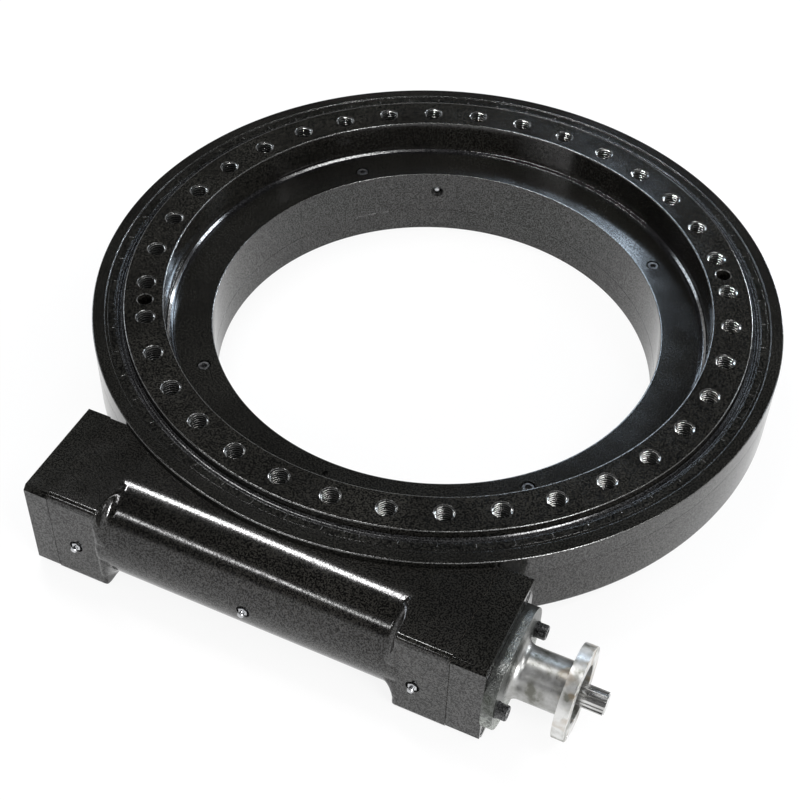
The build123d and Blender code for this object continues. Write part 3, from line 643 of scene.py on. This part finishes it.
def add_threads():
    """M20 threads in the holes of the ring: bright steel at the crests, near-black painted shade in the
    grooves.
    """
    groove = [(8.6, 0.0), (8.6, 0.2), (9.85, 0.8), (9.85, 2.5), (9.05, 2.95)]
    crest = [(9.05, 2.95), (8.6, 3.2)]
    for name, profile, paint_name in (("grooves", groove, "thread_root"), ("crests", crest, "thread_steel")):
        parts = [helix(x, y, profile) for x, y in polar(BOLT_CIRCLE, BOLT_COUNT, BOLT_START)]
        mesh_piece("ring_bolt_" + name, *join(*parts), "ring", "wheel_paint", paint_name, 20.0)


# Mesh helpers
def loose_mesh(vertices, faces):
    """A welded mesh that belongs to no piece yet."""
    mesh = bpy.data.meshes.new("loose")
    mesh.from_pydata([Vector(v) * MM for v in vertices], [], faces)
    mesh.update()
    bm = bmesh.new()
    bm.from_mesh(mesh)
    bmesh.ops.remove_doubles(bm, verts=bm.verts, dist=1e-6)
    bmesh.ops.recalc_face_normals(bm, faces=bm.faces)
    bm.to_mesh(mesh)
    bm.free()
    return mesh


def with_modifiers(mesh, steps):
    """The mesh after modifiers, each given as (type, {setting: value})."""
    scratch = bpy.data.objects.new("scratch", mesh)
    bpy.context.scene.collection.objects.link(scratch)
    for kind, settings in steps:
        modifier = scratch.modifiers.new(kind.lower(), kind)
        for key, value in settings.items():
            setattr(modifier, key, value)
    graph = bpy.context.evaluated_depsgraph_get()
    result = bpy.data.meshes.new_from_object(scratch.evaluated_get(graph))
    bpy.data.objects.remove(scratch)
    return result


def dress(node, edge, angle=28.0):
    """A refined copy of a CAD node that stands for it: welded, rounded at its edges and smooth."""
    source = nodes[node]
    mesh = source.data.copy()
    bm = bmesh.new()
    bm.from_mesh(mesh)
    bmesh.ops.remove_doubles(bm, verts=bm.verts, dist=2e-6)
    bmesh.ops.dissolve_limit(bm, angle_limit=math.radians(0.5), verts=bm.verts, edges=bm.edges)
    bm.to_mesh(mesh)
    bm.free()
    if edge:
        rounding = {
            "width": edge * MM,
            "segments": 3,
            "limit_method": "ANGLE",
            "angle_limit": math.radians(angle),
        }
        mesh = with_modifiers(mesh, [("BEVEL", rounding)])
    piece = finish_piece(node + "_dressed", mesh, source["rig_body"], NODE_SLOT[node])
    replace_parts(piece, node)


def cut(mesh, cutters):
    """The mesh with closed shapes, given as (vertices, faces) in mm, taken away."""
    for shape in cutters:
        tool = bpy.data.objects.new("tool", loose_mesh(*shape))
        bpy.context.scene.collection.objects.link(tool)
        mesh = with_modifiers(
            mesh, [("BOOLEAN", {"operation": "DIFFERENCE", "solver": "MANIFOLD", "object": tool})]
        )
        bpy.data.objects.remove(tool)
    return mesh


def prism(outline, start, end, place):
    """Closed solid between two copies of an outline (a, b), at heights start and end along place's axis."""
    count = len(outline)
    vertices = [place(a, b, h) for h in (start, end) for a, b in outline]
    faces = [(i, (i + 1) % count, (i + 1) % count + count, i + count) for i in range(count)]
    return vertices, faces + [tuple(range(count))[::-1], tuple(range(count, 2 * count))]


def box(start, end, half):
    """Outline of a rectangle from start to end, half wide to each side."""
    return [(start, -half), (end, -half), (end, half), (start, half)]


def along_worm(y, z, x):
    """A point from its offsets across the worm and its x."""
    return (x, WORM_Y + y, WORM_Z + z)


def upright(x, y, z):
    return (x, y, z)


def toward_front(x, z, y):
    return (x, y, z)


# Casing and inner rings
BOX_BACK = 59.2
BOX_SECTION = rounded(
    [
        (BOX_FRONT, -BARREL_RADIUS, 6.0),
        (BOX_BACK, -BARREL_RADIUS, 0),
        (BOX_BACK, BARREL_RADIUS, 1.5),
        (-49.0, BARREL_RADIUS, 1.0),
        (BOX_FRONT, 50.75, 1.0),
    ],
    6,
)

# The housing's nipples: x, z, and the y of the face that each one is sunk in
BOX_FACE = WORM_Y + BOX_FRONT
NIPPLES = ((166.0, 46.0, BOX_FACE), (-6.0, 57.0, WORM_Y - BARREL_RADIUS), (-190.0, 48.0, BOX_FACE))


def onto_surfaces(place, normal):
    """Shift from a cast point to the true flat, cylinder or cone that it lies near."""
    x, y, z = place
    radius, turned = math.hypot(x, y), Vector((x, y, 0)).normalized()
    worm = Vector((0, y - WORM_Y, z - WORM_Z))
    tilt = math.atan2(RIM_RADIUS - CONE_FOOT, CONE_HEIGHT)
    cone = turned * math.cos(tilt) - Vector((0, 0, math.sin(tilt)))
    barrel = (worm.length - BARREL_RADIUS, worm.normalized())
    surfaces = [
        (z - CASING_TOP, Vector((0, 0, 1))),
        (-z, Vector((0, 0, -1))),
        (-y + WORM_Y + BOX_FRONT, Vector((0, -1, 0))),
        (x - BLIND_BOX, Vector((1, 0, 0))),
        (DRIVE_BOX - x, Vector((-1, 0, 0))),
        barrel,
        (radius - RIM_RADIUS, turned),
        ((radius - CONE_FOOT) * math.cos(tilt) - z * math.sin(tilt), cone),
    ]
    if y < WORM_Y and BLIND_BOX + 2 < x < DRIVE_BOX - 2:
        surfaces = surfaces[3:5] + [barrel]
    for distance, outward_normal in surfaces:
        share = min(1.0, max(0.0, (normal.dot(outward_normal) - 0.93) / 0.05))
        if abs(distance) < 0.7 and share > 0:
            return outward_normal * (-distance * share)
    return Vector()


def settle(mesh):
    """Puts a remeshed skin back on its exact surfaces, apart from its blended edges."""
    moved = [onto_surfaces(Vector(v.co) / MM, Vector(v.normal)) * MM for v in mesh.vertices]
    for vertex, shift in zip(mesh.vertices, moved):
        vertex.co += shift
    mesh.update()


def add_casing():
    """Casing: the cast outside as one blended skin, with its machined faces and bores cut into it."""
    wall = [(296, 0), (CONE_FOOT, 0), (RIM_RADIUS, CONE_HEIGHT), (RIM_RADIUS, 98), (296, 98)]
    collar = [(0.1, -4), (66, -4), (66, 0)]
    for k in range(1, 8):
        turn = math.radians(90 * k / 7)
        collar.append((66 - 10.75 * math.sin(turn), 10.75 * (1 - math.cos(turn))))
    collar.append((0.1, 10.75))

    def beside(x, sign):
        def place(radius, reach, angle):
            px, y, z = on_worm(radius, x + sign * reach, angle)
            return (px, min(max(y, WORM_Y - 54.6), WORM_Y + 50), min(max(z, 0.0), CASING_TOP))

        return place

    body = join(
        lathe(wall),
        prism(BOX_SECTION, -218.0, BLIND_BOX, along_worm),
        prism(BOX_SECTION, DRIVE_BOX, 203.0, along_worm),
        prism(box(0, BOX_BACK, BARREL_RADIUS), -165.0, 150.0, along_worm),
        prism(disc(0, 0, BARREL_RADIUS, 256), -165.0, 150.0, along_worm),
        lathe(collar, 256, beside(BLIND_BOX, 1)),
        lathe(collar, 256, beside(DRIVE_BOX, -1)),
    )
    skin = with_modifiers(
        loose_mesh(*body),
        [
            ("REMESH", {"mode": "VOXEL", "voxel_size": 1.7 * MM, "use_smooth_shade": True}),
            ("SMOOTH", {"factor": 0.5, "iterations": 7}),
        ],
    )
    settle(skin)
    cavity = [
        (285, -3),
        (308.2, -3),
        (308.2, 18),
        (330.2, 18),
        (330.2, SEAM),
        (349, SEAM),
        (349, 98),
        (357, 98),
        (357, 92),
        (365.75, 92),
        (365.75, 109.8),
        (366.55, 110.6),
        (366.55, 130),
        (285, 130),
    ]
    cutters = [
        lathe(cavity),
        prism(disc(0, 0, 36.5, 96), -230, 220, along_worm),
        prism(disc(0, 0, 42.55, 96), -230, -179.5, along_worm),
        prism(disc(0, 0, 42.55, 96), 164.5, 220, along_worm),
        prism(box(-90, 59.5, 90), -240, BLIND_SEAM, along_worm),
        prism(box(-90, 59.5, 90), DRIVE_SEAM, 240, along_worm),
    ]
    cutters += [prism(disc(x, z, 7.0), y - 5, y + 3, toward_front) for x, z, y in NIPPLES]
    cutters += [prism(disc(x, y, 8.5), -1.0, 10.0, upright) for x, y in polar(*BASE_SCREWS)]
    piece = finish_piece("casing_body", cut(skin, cutters), "housing", "black_paint", "cast_paint", 40.0, 50)
    # The chamfer round the casing's top edge takes the lighter edge paint: partly wear, partly a painted
    # highlight for its thin bright line
    paint_edge_wear_and_highlight(piece, lambda centre, normal: 365.7 < centre.xy.length < 366.8 and 0.3 < normal.z < 0.97)
    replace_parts(piece, "casing")


def in_bore(a, b, depth):
    """A point by the bore nipple, from its offsets and how deep it lies in the wall."""
    turn = math.radians(BORE_NIPPLE_TURN)
    radius = BORE_RADIUS + depth
    return (
        radius * math.cos(turn) + a * math.sin(turn),
        radius * math.sin(turn) - a * math.cos(turn),
        BORE_NIPPLE_HEIGHT + b,
    )


def add_inner_rings():
    """Inner ring with four counterbores and the pin's hole on top, and the base ring below it."""
    shape = [
        (BORE_RADIUS, SEAM, 0.4),
        (285.4, SEAM, 0),
        (285.4, 77.0, 0),
        (282.7, 77.0, 0),
        (282.7, 82.4, 0.5),
        (BORE_RADIUS, 82.4, 0.9),
    ]
    cutters = [prism(disc(x, y, 7.5), 73.4, 90, upright) for x, y in polar(*INNER_SCREWS)]
    cutters += [prism(disc(x, y, 3.0), 81.9, 90, upright) for x, y in polar(257.0, 1, 269.0)]
    cutters.append(prism(disc(0, 0, 7.0), -5, 12, in_bore))
    mesh = cut(loose_mesh(*lathe(rounded(shape))), cutters)
    piece = finish_piece("inner_ring_body", mesh, "housing", "black_paint")
    # Rounded edges take the lighter edge paint: partly wear, partly a painted highlight
    paint_edge_wear_and_highlight(piece, turned_edge)
    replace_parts(piece, "inner_ring")
    shape = [
        (BORE_RADIUS, 0.0, 0.8),
        (308.0, 0.0, 0.5),
        (308.0, 18.0, 0),
        (330.0, 18.0, 0),
        (330.0, SEAM, 0),
        (BORE_RADIUS, SEAM, 0.5),
    ]
    cutters = [prism(disc(x, y, 10.0), -5, 22, upright) for x, y in polar(*BASE_BOLTS)]
    mesh = cut(loose_mesh(*lathe(rounded(shape))), cutters)
    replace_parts(finish_piece("base_ring_body", mesh, "housing", "black_paint"), "base_ring")


# Screws
def socket_head(radius, height, place):
    """A socket screw's head: knurled side, rounded top edge and a hexagon socket."""
    count = 72
    knurl = 0.25
    outer = [radius + (knurl if k % 2 else 0) for k in range(count)]
    rows = [
        (0.0, 1.0, True),
        (height * 0.86, 1.0, True),
        (height * 0.93, 0.985, False),
        (height, 0.93, False),
    ]
    vertices, faces = [], []
    for up, share, rough in rows:
        for k in range(count):
            angle = 2 * math.pi * k / count
            size = (outer[k] if rough else radius) * share
            vertices.append(place(size * math.cos(angle), size * math.sin(angle), up))
    hexagon = []
    for k in range(count):
        angle = 2 * math.pi * k / count
        hexagon.append(radius * 0.5 / math.cos((angle + math.pi / 6) % (math.pi / 3) - math.pi / 6))
    for up, share in ((height, 1.12), (height - 0.1 * radius, 1.0), (height * 0.45, 1.0)):
        for k in range(count):
            angle = 2 * math.pi * k / count
            size = hexagon[k] * share
            vertices.append(place(size * math.cos(angle), size * math.sin(angle), up))
    for row in range(len(rows) + 2):
        for k in range(count):
            a, b = row * count + k, row * count + (k + 1) % count
            faces.append((a, b, b + count, a + count))
    faces.append(tuple(range((len(rows) + 2) * count, (len(rows) + 3) * count)))
    return vertices, faces


def shank(radius, length, place):
    return prism(disc(0, 0, radius, 24), 0, -length, place)


def screw_group(name, node, radius, head, places, length):
    """Socket screws that stand for a CAD node: places are functions from (a, b, height) to a point."""
    parts = []
    for place in places:
        parts.append(socket_head(1.6 * radius - 0.25, head, place))
        parts.append(shank(radius, length, place))
    piece = mesh_piece(name, *join(*parts), "housing", "black_oxide", None, 40.0)
    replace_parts(piece, node)


# Each of these places a screw: it gives a function from (a, b, height) to a point
def above(x, y, z):
    return lambda a, b, h: (x + a, y + b, z + h)


def below(x, y, z):
    return lambda a, b, h: (x + a, y - b, z - h)


def outward(x, y, z, sign):
    return lambda a, b, h: (x + sign * h, WORM_Y + y + sign * a, WORM_Z + z + b)


def add_screws():
    ring_places = [above(x, y, 73.9) for x, y in polar(*INNER_SCREWS)]
    screw_group("inner_ring_screws_body", "inner_ring_screws", 4.0, 8.0, ring_places, 60.0)
    base_places = [below(x, y, 10.0) for x, y in polar(*BASE_SCREWS)]
    screw_group("base_screws_body", "base_screws", 5.0, 10.0, base_places, 16.0)
    corners = [(y, z) for y in CAP_SCREW_OFFSETS for z in CAP_SCREW_OFFSETS]
    cap_places = [outward(225.1, y, z, 1) for y, z in corners]
    cap_places += [outward(-231.5, y, z, -1) for y, z in corners]
    screw_group("cap_screws_body", "cap_screws", 4.0, 8.0, cap_places, 40.0)
    plate_places = [outward(246.6, y, 0, 1) for y in ADAPTER_SCREW_OFFSETS]
    screw_group("adapter_screws_body", "adapter_screws", 4.6, 9.2, plate_places, 24.0)


def add_nipples():
    """Grease nipples: hexagon, waist and round head, in bright zinc."""
    profile = [(0.05, 0), (4.3, 0), (4.3, 3.4), (3.6, 4.0), (2.5, 4.2), (2.3, 5.6)]
    profile += [(3.1, 6.4), (3.3, 7.3), (2.7, 8.4), (1.2, 9.0), (0.05, 9.0)]

    def shape(place):
        hexed = []
        vertices, faces = lathe(profile, 48, lambda r, h, t: (r, h, t))
        for r, h, t in vertices:
            if 4.0 < r and h < 3.8:
                r = min(4.9, 4.3 / math.cos((t + math.pi / 6) % (math.pi / 3) - math.pi / 6))
            hexed.append(place(r * math.cos(t), r * math.sin(t), h))
        return hexed, faces

    parts = []
    for x, z, y in NIPPLES:
        parts.append(shape(lambda a, b, h, x=x, y=y, z=z: (x + a, y + 3.0 - h, z + b)))
    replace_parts(mesh_piece("housing_nipples_body", *join(*parts), "housing", "zinc"), "housing_nipples")
    piece = mesh_piece("bore_nipple_body", *shape(lambda a, b, h: in_bore(a, b, 12.0 - h)), "housing", "zinc")
    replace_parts(piece, "bore_nipple")


def add_adapter():
    """Motor adapter: the CAD solid with rounded edges, and near-black walls in its bolt holes as painted
    shade.
    """
    dress("motor_adapter", 0.45, 30.0)
    # Walls lining the bolt holes, painted near-black as painted shade
    holes = [prism(disc(y, z, 2.45, 24), 295.5, 306.6, along_worm) for y, z in polar(40.0, 4, 45)]
    walls = [(vertices, faces[:-2]) for vertices, faces in holes]
    mesh_piece("adapter_bolt_hole_shade", *join(*walls), "housing", "machined_steel", "thread_root")


def add_spline():
    """The spline of the shaft's end, a sleeve of 13 teeth over it."""
    outline = []
    for k in range(SPLINE_TEETH):
        turn = 2 * math.pi * k / SPLINE_TEETH
        for radius, foot in ((9.75, -1.3), (11.05, -0.78), (11.05, 0.78), (9.75, 1.3)):
            y = radius * math.cos(turn) - foot * math.sin(turn)
            z = radius * math.sin(turn) + foot * math.cos(turn)
            outline.append((y, z))
    mesh_piece("shaft_spline", *prism(outline, 263.1, 330.0, along_worm), "worm", "shaft_steel")


add_rings()
add_stakes()
add_rotating_ring()
add_threads()
add_casing()
add_inner_rings()
add_screws()
add_nipples()
add_adapter()
add_spline()
dress("blind_end_cap", 0.9)
dress("drive_end_cap", 0.9)
dress("adapter_washers", 0.2)
dress("worm_shaft", 0)


# Floor, world and lamps
def seen_rays(tree):
    """1 for the rays that show the background: from the camera, in gloss and through glass."""
    path = tree.nodes.new("ShaderNodeLightPath")
    value = path.outputs["Is Camera Ray"]
    for name in ("Is Glossy Ray", "Is Transmission Ray"):
        more = tree.nodes.new("ShaderNodeMath")
        more.operation = "MAXIMUM"
        tree.links.new(value, more.inputs[0])
        tree.links.new(path.outputs[name], more.inputs[1])
        value = more.outputs[0]
    return value


def add_stage():
    """Plain floor, white to the camera but for the object's shadow."""
    bpy.ops.mesh.primitive_plane_add(size=40.0, location=(0, 0, -0.0005))
    floor = bpy.context.object
    floor.name = "floor"
    material = bpy.data.materials.new("floor")
    material.use_nodes = True
    tree = material.node_tree
    tree.nodes.clear()
    out = tree.nodes.new("ShaderNodeOutputMaterial")
    mix = tree.nodes.new("ShaderNodeMixShader")
    diffuse = tree.nodes.new("ShaderNodeBsdfDiffuse")
    diffuse.inputs["Color"].default_value = (0.9, 0.9, 0.9, 1)
    glow = tree.nodes.new("ShaderNodeEmission")
    glow.inputs["Strength"].default_value = 1.0
    share = tree.nodes.new("ShaderNodeMath")
    share.operation = "MULTIPLY"
    share.inputs[1].default_value = 0.88
    tree.links.new(seen_rays(tree), share.inputs[0])
    tree.links.new(share.outputs[0], mix.inputs[0])
    tree.links.new(diffuse.outputs[0], mix.inputs[1])
    tree.links.new(glow.outputs[0], mix.inputs[2])
    tree.links.new(mix.outputs[0], out.inputs["Surface"])
    floor.data.materials.append(material)


def add_world():
    """White low down and dark overhead for camera, gloss and glass. Other rays get an even soft light."""
    world = bpy.data.worlds.new("world")
    bpy.context.scene.world = world
    world.use_nodes = True
    tree = world.node_tree
    tree.nodes.clear()
    out = tree.nodes.new("ShaderNodeOutputWorld")
    room = tree.nodes.new("ShaderNodeBackground")
    coords = tree.nodes.new("ShaderNodeTexCoord")
    split = tree.nodes.new("ShaderNodeSeparateXYZ")
    tree.links.new(coords.outputs["Generated"], split.inputs[0])
    dark = (0.03, 0.03, 0.03)
    stops = [(0.24, (1, 1, 1)), (0.36, (0.12, 0.12, 0.125)), (0.5, dark), (1.0, dark)]
    shade = ramp(tree, split.outputs["Z"], stops)
    tree.links.new(shade, room.inputs["Color"])
    soft = tree.nodes.new("ShaderNodeBackground")
    soft.inputs["Color"].default_value = (0.97, 0.98, 1.0, 1)
    soft.inputs["Strength"].default_value = 0.3
    mix = tree.nodes.new("ShaderNodeMixShader")
    tree.links.new(seen_rays(tree), mix.inputs[0])
    tree.links.new(soft.outputs[0], mix.inputs[1])
    tree.links.new(room.outputs[0], mix.inputs[2])
    tree.links.new(mix.outputs[0], out.inputs["Surface"])


def add_lamp(name, place, target, size, power, colour=(1, 1, 1)):
    """A rectangular lamp that faces a target."""
    data = bpy.data.lights.new(name, "AREA")
    data.shape = "RECTANGLE"
    data.size, data.size_y = size
    data.energy = power
    data.color = colour
    lamp = bpy.data.objects.new(name, data)
    bpy.context.scene.collection.objects.link(lamp)
    away = Vector(target) - Vector(place)
    turn = away.to_track_quat("-Z", "Y").to_matrix().to_4x4()
    lamp.matrix_world = Matrix.Translation(place) @ turn
    return lamp


def add_strip(name, middle, heading, size, power):
    """A long lamp that lies level, with its length along a heading in degrees, and shines down."""
    lamp = add_lamp(name, middle, (middle[0], middle[1], 0), size, power)
    lamp.matrix_world = Matrix.Translation(middle) @ Matrix.Rotation(math.radians(heading), 4, "Z")


add_stage()
add_world()
add_strip("strip", (-0.86, 0.33, 2.5), -28.3, (1.35, 0.26), 38.0)
add_strip("second_strip", (-1.2, -2.92, 2.5), -42.0, (1.5, 0.3), 19.0)
add_strip("right_strip", (1.6, -0.5, 2.5), 51.0, (2.7, 0.3), 30.0)
add_lamp("window", (1.7, 2.05, 1.8), (0, 0, 0.1), (0.6, 0.5), 11.0, (0.85, 0.92, 1.0))
add_lamp("blue", (-0.44, 1.97, 1.9), (0, 0, 0.1), (0.4, 0.4), 8.0, (0.7, 0.84, 1.0))
add_lamp("low", (1.1, 2.55, 0.66), (-0.2, 0, 0.1), (0.75, 0.35), 40.0, (0.88, 0.94, 1.0))
add_lamp("front_right", (2.2, -1.35, 1.05), (0, 0.1, 0.1), (0.9, 0.5), 46.0)
add_lamp("side", (-2.4, 0.6, 1.2), (0, 0, 0.1), (0.6, 1.2), 10.0, (0.85, 0.92, 1.0))
